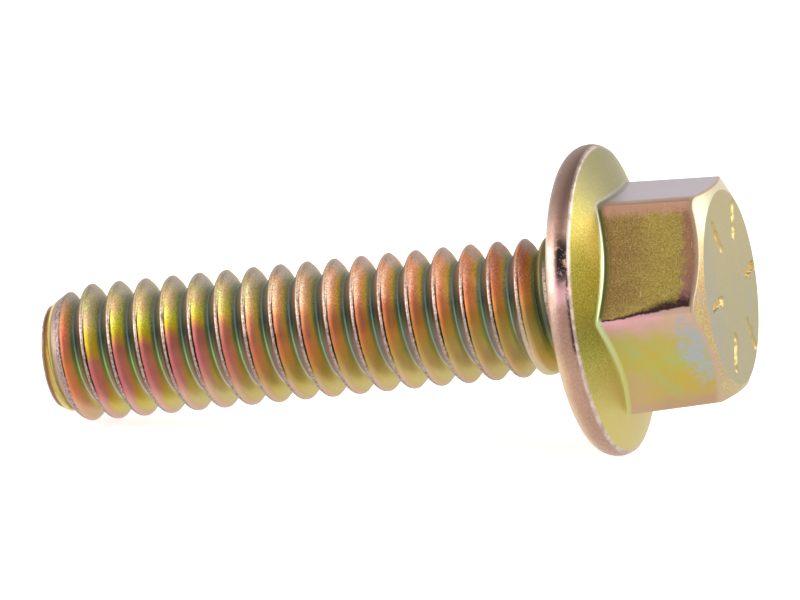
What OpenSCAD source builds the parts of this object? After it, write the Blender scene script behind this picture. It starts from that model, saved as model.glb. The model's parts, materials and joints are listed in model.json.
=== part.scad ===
// Hex flange screw, forged and rolled in one piece, lying as it comes to rest:
// on the rim of its flange and on the thread near its end, with its axis along X.

/* [Thread] */
// Major diameter of the quarter-inch coarse thread, as rolled
thread_d = 6.15; // [5.9:0.05:6.35]
// Pitch, 20 threads to the inch
thread_pitch = 1.27; // [1.1:0.01:1.4]
// Width of the crest's flat
crest_w = 0.16; // [0.08:0.01:0.25]
// Radius of the rounded root
root_r = 0.18; // [0.1:0.01:0.2]
// Angle between the two flanks
flank_angle = 60; // [55:1:65]
// Turn of the thread's start about the axis
thread_turn = 342; // [0:1:360]

/* [Shank] */
// Length from the flange's bearing face to the end
shank_l = 24.8; // [16:0.1:50]
// Diameter of the flat at the end
point_d = 4.6; // [3.5:0.1:5]
// Slope of the end's chamfer, from the axis
point_angle = 30; // [20:1:45]
// Plain length of neck under the head
neck_l = 0.5; // [0.45:0.05:2]
// Length over which the last thread runs out into the neck
runout_l = 0.9; // [0.5:0.05:3]
// Radius of the fillet under the head
neck_fillet_r = 0.4; // [0.2:0.05:0.45]

/* [Flange] */
// Diameter of the flange
flange_d = 13.85; // [12.5:0.05:16]
// Height of the rim's front edge over the bearing face
rim_h = 1.25; // [1:0.05:1.5]
// Radius of the rounded rim
rim_r = 0.85; // [0.7:0.05:0.95]
// Slope of the flange's upper side, from the bearing face
flange_angle = 24; // [15:1:30]

/* [Head] */
// Height of the head over the bearing face
head_h = 6.65; // [6:0.05:9]
// Width across the flats, at the foot of the hexagon
across_flats = 9.6; // [9:0.05:10]
// Draft of the flats, left by the forging die
flat_draft = 1.9; // [0:0.1:2]
// Depth to which the hexagon's corners are rounded off
corner_cut = 0.06; // [0.02:0.01:0.15]
// Diameter of the flat top
top_d = 8.7; // [7.5:0.05:9]
// Slope of the chamfer round the top, from the flat top
chamfer_angle = 30; // [15:1:35]
// Turn of the hexagon about the axis
head_turn = -29.5; // [-30:0.5:30]

/* [Hidden] */

// Facets of the thread in one turn, strips across its root, and sides of the turned forms
TURN_FACETS = 36;
ROOT_STRIPS = 3;
ROUND_SIDES = 96;
// How far the neck covers the end of the run-out, and a cutter reaches past what it cuts
NECK_COVER = 0.03;
OVERLAP = 0.5;

// Thread: the depth follows from the flanks, and the run-out ends at the rolled blank's radius
half_flank = flank_angle / 2;
crest_r = thread_d / 2;
flank_run = thread_pitch / 2 - crest_w / 2 - root_r * cos(half_flank);
thread_depth = flank_run / tan(half_flank) + root_r * (1 - sin(half_flank));
blank_r = crest_r - thread_depth / 2;
neck_r = blank_r + NECK_COVER;
start_z = -shank_l - 2 * thread_pitch;
full_turns = ceil(-start_z / thread_pitch);
point_l = (crest_r - point_d / 2) / tan(point_angle);

// Head: the rim's front edge, and the shoulder where a rounded corner meets the chamfer
rim_centre_r = flange_d / 2 - rim_r;
rim_edge_r = rim_centre_r + sqrt(rim_r ^ 2 - (rim_h - rim_r) ^ 2);
cone_top = rim_h + rim_edge_r * tan(flange_angle);
corner_foot_r = across_flats / 2 / cos(30) - corner_cut;
corner_slope = tan(flat_draft) / cos(30);
chamfer_slope = tan(chamfer_angle);
chamfer_z = head_h + chamfer_slope * top_d / 2;
shoulder_r = (corner_foot_r - corner_slope * chamfer_z) / (1 - corner_slope * chamfer_slope);
shoulder_z = chamfer_z - chamfer_slope * shoulder_r;

// Rest: the floor touches the rim's round and the crest where the end's chamfer starts
rest_run = shank_l - point_l + rim_r;
rest_drop = rim_centre_r - crest_r;
rest_tilt = atan(rest_drop / rest_run) + asin(rim_r / norm([rest_run, rest_drop]));
rest_z = crest_r * cos(rest_tilt) + (shank_l - point_l) * sin(rest_tilt);
end_x = -shank_l * cos(rest_tilt) - point_d / 2 * sin(rest_tilt);
top_x = head_h * cos(rest_tilt) + top_d / 2 * sin(rest_tilt);

// Thread profile over one pitch, as [height over the crest's middle, radius]
root_profile = [
    for (i = [0:ROOT_STRIPS])
    let (a = (90 - half_flank) * (2 * i / ROOT_STRIPS - 1))
    [thread_pitch / 2 + root_r * sin(a), crest_r - thread_depth + root_r * (1 - cos(a))]
];
profile = concat([[crest_w / 2, crest_r]], root_profile, [[thread_pitch - crest_w / 2, crest_r]]);
strips = len(profile);
steps = full_turns * TURN_FACETS;

// How much of the thread's form is left at a height, from 1 on the shank to 0 at the neck
function runout(z) = max(0, min(1, (-neck_l - z) / runout_l));

// Point of the thread at a step along the helix and a place in the profile
function thread_point(step, place) =
    let (a = thread_turn + 360 * step / TURN_FACETS)
    let (z = start_z + thread_pitch * step / TURN_FACETS + profile[place][0])
    let (r = blank_r + (profile[place][1] - blank_r) * runout(z))
    [r * cos(a), r * sin(a), z];

// Number of that point in the list: the strip over the last one starts the next turn
function point_id(step, place) =
    place == strips ? point_id(step + TURN_FACETS, 0)
    : step <= steps ? step * strips + place
    : (steps + 1) * strips + step - steps - 1;

// Right-hand helical thread on its core, closed by a fan at each end
module helical_thread() {
    grid = [for (i = [0:steps]) for (j = [0:strips - 1]) thread_point(i, j)];
    last_turn = [for (i = [steps + 1:steps + TURN_FACETS]) thread_point(i, 0)];
    fan_z = [start_z, start_z + full_turns * thread_pitch] + [1, 1] * thread_pitch / 2;
    low = len(grid) + len(last_turn);
    high = low + 1;
    sides = [
        for (i = [0:steps - 1]) for (j = [0:strips - 1])
        let (a = point_id(i, j), b = point_id(i + 1, j))
        let (c = point_id(i + 1, j + 1), d = point_id(i, j + 1))
        each [[a, d, c], [a, c, b]]
    ];
    fans = [
        for (i = [0:TURN_FACETS - 1])
        each [[low, i * strips, (i + 1) * strips],
              [high, point_id(steps + i + 1, 0), point_id(steps + i, 0)]]
    ];
    fan_sides = [
        for (j = [0:strips - 1])
        each [[low, point_id(0, j + 1), j], [high, point_id(steps, j), point_id(steps, j + 1)]]
    ];
    points = concat(grid, last_turn, [[0, 0, fan_z[0]], [0, 0, fan_z[1]]]);
    polyhedron(points, concat(sides, fans, fan_sides));
}

// Turned outline that the thread is trimmed to: flat end and chamfer
module shank_outline() {
    outer_r = crest_r + OVERLAP;
    outer_z = (outer_r - point_d / 2) / tan(point_angle) - shank_l;
    rotate_extrude($fn = ROUND_SIDES)
        polygon([[0, -shank_l], [point_d / 2, -shank_l], [outer_r, outer_z], [outer_r, rim_h], [0, rim_h]]);
}

// Neck with its fillet under the bearing face
module neck() {
    foot_r = neck_r + neck_fillet_r;
    rotate_extrude($fn = ROUND_SIDES)
        difference() {
            polygon([[0, -neck_l], [neck_r, -neck_l], [neck_r, -neck_fillet_r], [foot_r, -neck_fillet_r],
                     [foot_r, rim_h / 2], [0, rim_h / 2]]);
            translate([foot_r, -neck_fillet_r]) circle(neck_fillet_r, $fn = ROUND_SIDES);
        }
}

// Flange: flat bearing face, rounded rim and conical upper side
module flange() {
    rotate_extrude($fn = ROUND_SIDES)
        intersection() {
            union() {
                square([rim_centre_r, cone_top]);
                translate([rim_centre_r, rim_r]) circle(rim_r, $fn = ROUND_SIDES);
            }
            polygon([[0, -OVERLAP], [(cone_top + OVERLAP) / tan(flange_angle), -OVERLAP], [0, cone_top]]);
        }
}

// One drafted flat, as a block that ends in it
module flat_block() {
    block = 2 * (across_flats + head_h);
    translate([across_flats / 2, 0, 0])
        rotate([0, -flat_draft, 0])
            translate([-block, -block / 2, -block / 2]) cube(block);
}

// Hexagon: six drafted flats inside a turned outline with rounded corners and the top's chamfer
module hexagon() {
    intersection() {
        rotate_extrude($fn = ROUND_SIDES)
            polygon([[0, rim_h / 2], [corner_foot_r - corner_slope * rim_h / 2, rim_h / 2],
                     [shoulder_r, shoulder_z], [top_d / 2, head_h], [0, head_h]]);
        intersection_for (side = [0:5])
            rotate(head_turn + 30 + 60 * side) flat_block();
    }
}

module flange_screw() {
    color([0.77, 0.67, 0.34])
        translate([-(end_x + top_x) / 2, 0, rest_z])
            rotate([0, 90 - rest_tilt, 0]) {
                intersection() {
                    helical_thread();
                    shank_outline();
                }
                neck();
                flange();
                hexagon();
            }
}

flange_screw();
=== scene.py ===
"""Looks of a yellow zinc plated hex flange screw that lies on its flange and its thread."""

import json
import math

import bmesh
import bpy
import numpy as np
from mathutils import Matrix, Vector


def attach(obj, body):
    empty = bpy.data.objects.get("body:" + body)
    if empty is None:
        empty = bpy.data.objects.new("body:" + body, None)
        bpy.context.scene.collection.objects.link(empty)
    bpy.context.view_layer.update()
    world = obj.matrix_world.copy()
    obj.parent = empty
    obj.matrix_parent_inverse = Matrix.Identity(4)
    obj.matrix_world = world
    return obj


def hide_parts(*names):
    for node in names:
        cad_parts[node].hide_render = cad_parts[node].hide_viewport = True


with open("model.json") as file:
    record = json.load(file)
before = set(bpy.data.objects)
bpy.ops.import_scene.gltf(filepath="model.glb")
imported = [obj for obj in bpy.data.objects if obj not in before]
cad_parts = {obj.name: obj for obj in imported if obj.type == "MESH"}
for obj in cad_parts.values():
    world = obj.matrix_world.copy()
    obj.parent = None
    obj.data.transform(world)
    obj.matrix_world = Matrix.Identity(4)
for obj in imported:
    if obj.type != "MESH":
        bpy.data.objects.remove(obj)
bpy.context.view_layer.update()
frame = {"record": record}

# The screw's own sizes, in mm and degrees: z runs along its axis from the bearing face to the head's top
CREST_R = 3.065
CORE_R = 2.284
PITCH = 1.27
LIP_W = 0.12
LIP_ROUND_TIP_SIDE = 0.18
LIP_ROUND_HEAD_SIDE = 0.36
ROOT_ROUND = 0.25
HALF_FLANK = math.radians(30)
THREAD_TURN = 342
SHANK_L = 24.8
POINT_R = 2.3
POINT_SLOPE = math.tan(math.radians(30))
POINT_ROUND = 0.1
NECK_R = 2.7
NECK_Z = -0.5
RUNOUT_L = 0.9
NECK_FILLET_R = 0.4
FLANGE_R = 6.922
RIM_H = 1.25
RIM_R = 0.85
FLANGE_SLOPE = math.tan(math.radians(24))
HEAD_H = 6.65
FLAT_R = 4.8
FLAT_DRAFT = math.tan(math.radians(1.9))
TOP_R = 4.35
CHAMFER_SLOPE = math.tan(math.radians(30))
HEAD_TURN = 30.5
EDGE_ROUND = 0.06
FOOT_FILLET_R = 0.15
# Radius of each of the hexagon's corners, at the foot and at the top, where the forging fills them less
CORNER_FOOT_R = np.array((0.6, 0.6, 0.5, 0.5, 0.3, 0.25))
CORNER_TOP_R = np.array((0.6, 0.7, 0.8, 1.0, 1.3, 0.3))

# The last crest before the neck is broader, from one turn of the thread to another
LAST_LIP_W = 0.26
LAST_TURN = (17.6, 18.2)

# Crinkled fold beside the crest: its place, form and waves, and where it fades above and below
SEAM_PLACE = 0.045
SEAM_HALF_W = 0.035
SEAM_DEPTH = 0.1
SEAM_WANDER = 0.012
SEAM_SEED = 3
SEAM_WAVES = (3.1, 7.3, 13.7, 29.0)
SEAM_DEPTH_SEED = 5
SEAM_DEPTH_WAVES = (1.3, 4.1, 11.0, 23.0)
SEAM_FADE_ABOVE = (0.03, 0.25)
SEAM_FADE_BELOW = (0.6, 0.82)

# Six stamped dashes with a low burr, struck a little off the head's middle
STAMP_CENTRE = np.array((0.06, 0.5))
STAMP_TURN = 153.5
DASHES = 6
DASH_INNER = 2.35
DASH_OUTER = 3.75
DASH_HALF_W = 0.25
DASH_DEPTH = 0.17
DASH_WAVER = 0.04
DASH_WAVES = (4.0, 9.0)
PIT_SEED = 20
PIT_WAVES = (5.0, 12.0)
BURR_AWAY = 1.35 * DASH_HALF_W
BURR_W = 0.06
BURR_H = 0.012

# Mesh of the thread: columns in a turn, places across one pitch from root to root, and spare turns
TURN_COLUMNS = 96
PITCH_PLACES = np.array((
    -0.635, -0.59, -0.54, -0.48, -0.4, -0.32, -0.24, -0.18, -0.14, -0.115, -0.09, -0.06, -0.025,
    0.01, 0.028, 0.045, 0.062, 0.08, 0.105, 0.14, 0.19, 0.26, 0.36, 0.46, 0.53, 0.59,
))
TURNS_BEFORE = 3
TURNS_AFTER = 1
END_SPAN = 1.0

# Mesh of the head: columns across a flat and a dash, in degrees, and steps along its section
FLAT_COLUMNS = np.array((
    -29.4, -28.8, -28.1, -27.3, -26.4, -25.4, -24.3, -23.1, -21.6, -19, -15, -10, -5, 0,
    5, 10, 15, 19, 21.6, 23.1, 24.3, 25.4, 26.4, 27.3, 28.1, 28.8, 29.4, 30,
))
DASH_COLUMNS = np.array((-5, -3.8, -3, -2.3, -1.6, -0.8, 0, 0.8, 1.6, 2.3, 3, 3.8, 5))
COLUMN_GAP = 0.25
FILLET_STEPS = 6
EDGE_STEPS = 4
BEARING_STEPS = 6
RIM_ROWS = 19
CONE_STEPS = 9
FLAT_STEPS = 18
CHAMFER_STEPS = 7
TOP_SHARES = (*np.linspace(0.01, 0.6, 34), 0.75, 0.9, 1.0)

# Points nearer than the first length are joined, faces thinner than the second are dropped
JOIN_GAP = 0.001
THIN_FACE = 0.0005
SHARP_ANGLE = math.radians(48)

# Heights of the rings where the shank ends and the head begins
SHANK_TOP = NECK_Z + 0.05
HEAD_START = NECK_Z + 0.08

# Height of the satin grain, in mm
GRAIN_HEIGHT = 0.012

# Colours along the thread, in turns from its end: where a mask begins and is full, or also ends
CLIMB_PER_TURN = 0.034
MIDDLE_TURN = 9
TIP_TURN = 3.3
TIP_COLOURS = (8.6, 5.6)
SECOND_CREST = (2.6, 2.2)
FIRST_FLANK = (1.45, 1.2)
LAST_CREST = (17.7, 18.0, 18.2, 18.4)
NECK_TURN = (18.2, 18.35)

# Flats in view and marks on the flange, in degrees round the axis
TOP_FLAT = HEAD_TURN + 150
UPPER_FLAT = HEAD_TURN + 210
LOWER_FLAT = HEAD_TURN + 270
FLAT_REACH = (30, 30.4)
RIM_BLUSH = 253
RIM_SMEAR = 244
RIM_LINE = 264
# Direction of the speckled painted shade on the cone's front
CONE_SHADE = 260

# How the colour of a zone of the head comes in over its number, from 0 outside it to 1 on it
BROAD_ZONE = (0.0, 0.3)
EVEN_ZONE = (0.0, 1.0)
THIN_ZONE = (0.4, 0.85)

# Light of the room, with a dark strip overhead, and the white floor, in m
ROOM_LEVEL = 0.7
MIRROR_LIFT = 0.2
STRIP_SIDE = (0.917, -0.343, 0.205)
STRIP_EDGE = (0.42, 0.15)
STRIP_RISE = (0.2, 0.5)
STRIP_DIM = 0.62
FLOOR_SIZE = 3
FLOOR_DROP = 0.00002
FLOOR_GREY = (0.8, 0.8, 0.8)
FLOOR_GLOW = 0.72
LAMP_DISTANCE = 0.6

# Camera, from matching the photo's outlines, in degrees and mm
CAMERA_AZIMUTH = 15.64
CAMERA_ELEVATION = 12.07
CAMERA_DISTANCE = 450
CAMERA_AIM = Vector((0.243, -0.055, 6.317))
CAMERA_LENS = 455.9
CAMERA_SENSOR = 36

MM = 0.001
SIDE = math.radians(60)
HALF_SIDE = math.radians(30)
BLANK_R = (CREST_R + CORE_R) / 2
RIM_CENTRE_R = FLANGE_R - RIM_R
RIM_END = math.asin((RIM_H - RIM_R) / RIM_R)
RIM_EDGE_R = RIM_CENTRE_R + RIM_R * math.cos(RIM_END)
CONE_TOP = RIM_H + RIM_EDGE_R * FLANGE_SLOPE
CHAMFER_TOP = HEAD_H + TOP_R * CHAMFER_SLOPE


def screw_frame():
    """Matrix from the screw's own millimetres to the shared frame."""
    mount = next(m for m in frame["record"]["mounts"] if m["name"] == "bearing_face")
    along = -Vector(mount["axis"])
    across = Vector((0, 1, 0))
    down = across.cross(along)
    turn = Matrix((down, across, along)).transposed().to_4x4()
    return Matrix.Translation(mount["pos_m"]) @ turn @ Matrix.Scale(MM, 4)


def smooth_step(x, low, high):
    t = np.clip((x - low) / (high - low), 0, 1)
    return t * t * (3 - 2 * t)


def smooth_min(a, b, width):
    blend = np.maximum(width - np.abs(a - b), 0) / width
    return np.minimum(a, b) - blend ** 2 * width / 4


def ripple(x, seed, scales):
    """Smooth, repeatable wobble over the number x, mostly from -1 to 1."""
    phases = np.random.default_rng(seed).uniform(0, 2 * math.pi, len(scales))
    waves = [np.sin(x * scale + phase) for scale, phase in zip(scales, phases)]
    gain = 1.6
    return sum(waves) / len(waves) * gain


def thread_radius(offset, turn):
    """Radius of the thread at a distance along the axis from its crest's middle."""
    lip_w = LIP_W + (LAST_LIP_W - LIP_W) * smooth_step(turn, *LAST_TURN)
    flank = CREST_R - (np.abs(offset) - lip_w) / math.tan(HALF_FLANK)
    rooted = -smooth_min(-flank, -CORE_R, ROOT_ROUND)
    lip_round = np.where(offset < SEAM_PLACE, LIP_ROUND_TIP_SIDE, LIP_ROUND_HEAD_SIDE)
    return smooth_min(rooted, CREST_R, lip_round)


def crest_seam(offset, along):
    """Depth of the crinkled fold that rolling leaves beside the crest."""
    middle = SEAM_PLACE + SEAM_WANDER * ripple(along, SEAM_SEED, SEAM_WAVES)
    share = np.clip(0.65 + 0.5 * ripple(along, SEAM_DEPTH_SEED, SEAM_DEPTH_WAVES), 0.15, 1)
    return SEAM_DEPTH * share * np.clip(1 - np.abs(offset - middle) / SEAM_HALF_W, 0, 1)


def seam_share(angle, turn):
    """How much of the fold is left: none on the upper and lower sides of the screw and on the last crest."""
    lie = 0.5 + 0.5 * np.cos(angle)
    in_front = smooth_step(lie, *SEAM_FADE_ABOVE) * (1 - smooth_step(lie, *SEAM_FADE_BELOW))
    return in_front * (1 - smooth_step(turn, *LAST_TURN))


def column_angle(column):
    return math.radians(THREAD_TURN) + 2 * math.pi * column / TURN_COLUMNS


def thread_grid():
    """Places of the shank's surface: a column per angle, each from the end's middle to the neck."""
    places = len(PITCH_PLACES)
    turns = math.ceil((SHANK_L + NECK_Z) / PITCH) + TURNS_BEFORE + TURNS_AFTER
    column = np.arange(TURN_COLUMNS)[:, None]
    step = np.arange(turns * places)[None, :]
    angle = column_angle(column)
    turn = step // places - TURNS_BEFORE + column / TURN_COLUMNS
    offset = PITCH_PLACES[step % places] + 0 * column
    z = snap_to_end(-SHANK_L + PITCH * turn + offset)
    seam = crest_seam(offset, turn * 2 * math.pi) * seam_share(angle, turn)
    r = thread_radius(offset, turn) - seam
    r = BLANK_R + (r - BLANK_R) * np.clip((NECK_Z - z) / RUNOUT_L, 0, 1)
    point = POINT_R + (z + SHANK_L) * POINT_SLOPE
    cut = smooth_step(r - point, -POINT_ROUND / 2, POINT_ROUND / 2)
    r = smooth_min(r, point, POINT_ROUND)
    inside = np.clip((z + SHANK_L + END_SPAN) / END_SPAN, 0, 1)
    r = np.where(z < -SHANK_L, POINT_R * inside, r)
    r = np.where(z > NECK_Z, NECK_R, r)
    z = np.clip(z, -SHANK_L, SHANK_TOP)
    phase = 2 * math.pi * offset / PITCH
    spots = np.stack((r * np.cos(angle), r * np.sin(angle), z), axis=-1)
    return spots, {"crest": np.cos(phase), "side": np.sin(phase), "cut": cut, "turn": turn + 0 * offset}


def snap_to_end(z):
    """Moves the place nearest the flat end, in each column, right onto the end's edge."""
    nearest = np.abs(z + SHANK_L).argmin(axis=1)
    z[np.arange(len(z)), nearest] = -SHANK_L
    return z


def hexagon_radius(from_corner, apothem, corner_r):
    """Radius of a round-cornered hexagon at an angle from its nearest corner."""
    flat = apothem / np.cos(HALF_SIDE - np.abs(from_corner))
    centre = (apothem - corner_r) / math.cos(HALF_SIDE)
    reach = corner_r ** 2 - (centre * np.sin(from_corner)) ** 2
    corner = centre * np.cos(from_corner) + np.sqrt(np.maximum(reach, 0))
    rounded = np.abs(from_corner) < np.arctan(corner_r / 2 / (centre + corner_r * math.cos(HALF_SIDE)))
    return np.where(rounded, corner, flat)


def head_angles():
    """Columns of the head: close together at the hexagon's corners and at the stamped dashes."""
    flats = (HEAD_TURN + 30 + 60 * np.arange(6)[:, None] + FLAT_COLUMNS[None, :]).ravel()
    dashes = []
    for aim in dash_angles():
        rays = np.radians(math.degrees(aim) + DASH_COLUMNS)
        out = np.stack((np.cos(rays), np.sin(rays)), axis=-1)
        ahead = out @ STAMP_CENTRE
        reach = -ahead + np.sqrt(ahead ** 2 + TOP_R ** 2 - STAMP_CENTRE @ STAMP_CENTRE)
        edge = STAMP_CENTRE + out * reach[:, None]
        dashes.extend(np.degrees(np.arctan2(edge[:, 1], edge[:, 0])))
    angles = np.sort(np.concatenate((flats, dashes)) % 360)
    kept = [angles[0]]
    for angle in angles[1:]:
        if angle - kept[-1] > COLUMN_GAP:
            kept.append(angle)
    return np.radians(kept)


def dash_angles():
    return np.radians(STAMP_TURN + 360 / DASHES * np.arange(DASHES))


def rounded_corner(before, corner, after, radius, steps):
    """Points of an arc that rounds a corner of the head's section, for every column at once."""
    back = (before - corner) / np.linalg.norm(before - corner, axis=-1, keepdims=True)
    ahead = (after - corner) / np.linalg.norm(after - corner, axis=-1, keepdims=True)
    half = np.arccos(np.clip((back * ahead).sum(-1, keepdims=True), -1, 1)) / 2
    middle = (back + ahead) / np.linalg.norm(back + ahead, axis=-1, keepdims=True)
    centre = corner + middle * radius / np.sin(half)
    start = corner + back * radius / np.tan(half) - centre
    end = corner + ahead * radius / np.tan(half) - centre
    sweep = math.pi - 2 * half
    points = []
    for step in range(steps + 1):
        t = step / steps
        points.append(centre + (np.sin((1 - t) * sweep) * start + np.sin(t * sweep) * end) / np.sin(sweep))
    return points


def straight(a, b, steps):
    """Points between two ends, without the ends."""
    return [a + (b - a) * step / steps for step in range(1, steps)]


def head_section(angle):
    """Rows of the head's section over all columns, as (zone, points) from the neck to the top's edge."""
    corner = np.rint((angle - math.radians(HEAD_TURN)) / SIDE).astype(int)
    from_corner = angle - math.radians(HEAD_TURN) - corner * SIDE
    low = hexagon_radius(from_corner, FLAT_R, CORNER_FOOT_R[corner % 6])
    high = hexagon_radius(from_corner, FLAT_R - HEAD_H * FLAT_DRAFT, CORNER_TOP_R[corner % 6])
    lean = (low - high) / HEAD_H
    foot_r = (low - lean * CONE_TOP) / (1 - lean * FLANGE_SLOPE)
    shoulder_r = (low - lean * CHAMFER_TOP) / (1 - lean * CHAMFER_SLOPE)

    def spot(r, z):
        return np.stack(np.broadcast_arrays(r + 0 * angle, z + 0 * angle), axis=-1)

    neck = spot(NECK_R, HEAD_START)
    under = spot(NECK_R, 0)
    rim_start = spot(RIM_CENTRE_R, 0)
    turn = np.linspace(-math.pi / 2, RIM_END, RIM_ROWS)
    rim = [spot(RIM_CENTRE_R + RIM_R * math.cos(t), RIM_R + RIM_R * math.sin(t)) for t in turn]
    edge = spot(RIM_EDGE_R, RIM_H)
    foot = spot(foot_r, CONE_TOP - foot_r * FLANGE_SLOPE)
    shoulder = spot(shoulder_r, CHAMFER_TOP - shoulder_r * CHAMFER_SLOPE)
    brim = spot(TOP_R, HEAD_H)
    middle = spot(0, HEAD_H)

    neck_round = rounded_corner(neck, under, rim_start, NECK_FILLET_R, FILLET_STEPS)
    edge_round = rounded_corner(rim[-3], edge, foot, EDGE_ROUND, EDGE_STEPS)
    foot_round = rounded_corner(edge, foot, shoulder, FOOT_FILLET_R, FILLET_STEPS)
    shoulder_round = rounded_corner(foot, shoulder, brim, EDGE_ROUND, EDGE_STEPS)
    brim_round = rounded_corner(shoulder, brim, middle, EDGE_ROUND, EDGE_STEPS)
    sections = (
        ("neck", [neck]),
        ("neck", neck_round),
        ("bearing", straight(neck_round[-1], rim[0], BEARING_STEPS)),
        ("rim", rim[:-2]),
        ("edge", edge_round),
        ("cone", straight(edge_round[-1], foot_round[0], CONE_STEPS)),
        ("foot", foot_round),
        ("flat", straight(foot_round[-1], shoulder_round[0], FLAT_STEPS)),
        ("shoulder", shoulder_round),
        ("chamfer", straight(shoulder_round[-1], brim_round[0], CHAMFER_STEPS)),
        ("brim", brim_round),
    )
    return [(zone, row) for zone, rows in sections for row in rows]


def dash_depth(x, y):
    """Depth of the stamped dashes at a place on the head's top, with a low burr round each."""
    dx, dy = x - STAMP_CENTRE[0], y - STAMP_CENTRE[1]
    depth = np.zeros_like(x)
    for number, aim in enumerate(dash_angles()):
        along = dx * math.cos(aim) + dy * math.sin(aim)
        aside = dy * math.cos(aim) - dx * math.sin(aim)
        aside = aside + DASH_WAVER * ripple(along, number, DASH_WAVES)
        past = np.maximum(np.maximum(DASH_INNER - along, along - DASH_OUTER), 0)
        away = np.hypot(aside, past)
        pit = 1 - smooth_step(away, 0.5 * DASH_HALF_W, DASH_HALF_W)
        pit = pit * (0.75 + 0.3 * ripple(along + aside, PIT_SEED + number, PIT_WAVES))
        burr = np.exp(-((away - BURR_AWAY) / BURR_W) ** 2)
        depth += DASH_DEPTH * pit - BURR_H * burr
    return depth


class Surface:
    """Vertices with their named numbers, and faces, gathered for one mesh."""

    NAMES = (
        "thread", "crest", "side", "turn", "cut", "neck", "bearing", "rim", "edge", "cone", "foot", "flat",
        "shoulder", "chamfer", "brim", "top", "dash", "up",
    )

    def __init__(self):
        self.spots = []
        self.numbers = {name: [] for name in self.NAMES}
        self.faces = []
        self.count = 0

    def add(self, spots, **numbers):
        """Adds a block of vertices and returns their indices in the block's own shape."""
        shape = spots.shape[:-1]
        size = int(np.prod(shape))
        self.spots.append(spots.reshape(-1, 3))
        for name in self.NAMES:
            value = np.broadcast_to(np.asarray(numbers.get(name, 0.0), dtype=float), shape)
            self.numbers[name].append(value.reshape(-1))
        self.count += size
        return np.arange(self.count - size, self.count).reshape(shape)

    def quads(self, a, b, c, d):
        self.faces.extend(np.stack((a, b, c, d), axis=-1).reshape(-1, 4).tolist())

    def rows(self, index):
        """Faces between the rows of a closed grid, whose columns go round the axis."""
        following = np.roll(index, -1, axis=1)
        self.quads(index[:-1], following[:-1], following[1:], index[1:])

    def zip_rings(self, low, low_angle, high, high_angle):
        """Triangles between two rings whose points lie at different angles."""
        i = j = 0
        while i < len(low) or j < len(high):
            next_low = low_angle[i + 1] if i + 1 < len(low) else low_angle[0] + 2 * math.pi
            next_high = high_angle[j + 1] if j + 1 < len(high) else high_angle[0] + 2 * math.pi
            a, b = low[i % len(low)], high[j % len(high)]
            if j >= len(high) or (i < len(low) and next_low <= next_high):
                self.faces.append((a, low[(i + 1) % len(low)], b))
                i += 1
            else:
                self.faces.append((a, high[(j + 1) % len(high)], b))
                j += 1


def add_shank(surface):
    """Adds the threaded shank, and returns the ring of points at the neck with their angles."""
    spots, numbers = thread_grid()
    index = surface.add(spots, thread=np.where(spots[..., 2] < NECK_Z, 1, 0), **numbers)
    places = len(PITCH_PLACES)
    surface.quads(index[:-1, :-1], index[1:, :-1], index[1:, 1:], index[:-1, 1:])
    first, last = index[0, places:], index[-1, :-places]
    surface.quads(last[:-1], first[:-1], first[1:], last[1:])
    return ring_from_zero(index[:, -1], column_angle(np.arange(TURN_COLUMNS)))


def ring_from_zero(ring, angle):
    """A ring's points in the order of their angles, from the one nearest zero."""
    angle = angle % (2 * math.pi)
    order = np.argsort(angle)
    return ring[order], angle[order]


def add_head(surface, ring, ring_angle):
    """Adds the neck's fillet, flange, hexagon and stamped top, joined to the shank's last ring."""
    angle = head_angles()
    section = head_section(angle)
    flats = [row for zone, row in section if zone in ("foot", "flat", "shoulder")]
    indices = []
    for zone, row in section:
        r, z = row[:, 0], row[:, 1]
        spots = np.stack((r * np.cos(angle), r * np.sin(angle), z), axis=-1)
        up = (z - flats[0][:, 1]) / (flats[-1][:, 1] - flats[0][:, 1])
        indices.append(surface.add(spots, **{zone: 1.0}, up=np.clip(up, 0, 1)))
    indices.extend(add_top(surface, angle, section[-1][1][:, 0]))
    surface.rows(np.array(indices))
    surface.zip_rings(ring, ring_angle, indices[0], angle)


def add_top(surface, angle, edge_r):
    """Adds the rows of the flat top, which run from its edge to the middle of the stamp."""
    edge = np.stack((edge_r * np.cos(angle), edge_r * np.sin(angle)), axis=-1)
    for share in TOP_SHARES:
        place = edge + (STAMP_CENTRE - edge) * share
        depth = dash_depth(place[:, 0], place[:, 1])
        spots = np.stack((place[:, 0], place[:, 1], HEAD_H - depth), axis=-1)
        spots[:, 2] = np.minimum(spots[:, 2], HEAD_H)
        yield surface.add(spots, top=1.0, dash=np.clip(depth / DASH_DEPTH, 0, 1))


def make_screw():
    """The whole screw as one mesh, whose points keep their place and their zones for the material."""
    surface = Surface()
    add_head(surface, *add_shank(surface))
    local = np.concatenate(surface.spots)
    place = np.array(screw_frame())
    world = local @ place[:3, :3].T + place[:3, 3]
    mesh = bpy.data.meshes.new("screw_skin")
    mesh.from_pydata(world.tolist(), [], surface.faces)
    own = mesh.attributes.new("own", "FLOAT_VECTOR", "POINT")
    own.data.foreach_set("vector", local.ravel())
    for name, values in surface.numbers.items():
        attribute = mesh.attributes.new(name, "FLOAT", "POINT")
        attribute.data.foreach_set("value", np.concatenate(values))
    clean(mesh)
    skin = bpy.data.objects.new("screw_skin", mesh)
    bpy.context.collection.objects.link(skin)
    return skin


def clean(mesh):
    """Joins the points that fall together, drops faces with no area and turns all faces outwards."""
    work = bmesh.new()
    work.from_mesh(mesh)
    bmesh.ops.remove_doubles(work, verts=work.verts, dist=JOIN_GAP * MM)
    bmesh.ops.dissolve_degenerate(work, edges=work.edges, dist=THIN_FACE * MM)
    bmesh.ops.recalc_face_normals(work, faces=work.faces)
    for face in work.faces:
        face.smooth = True
    work.to_mesh(mesh)
    work.free()
    mesh.set_sharp_from_angle(angle=SHARP_ANGLE)


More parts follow.
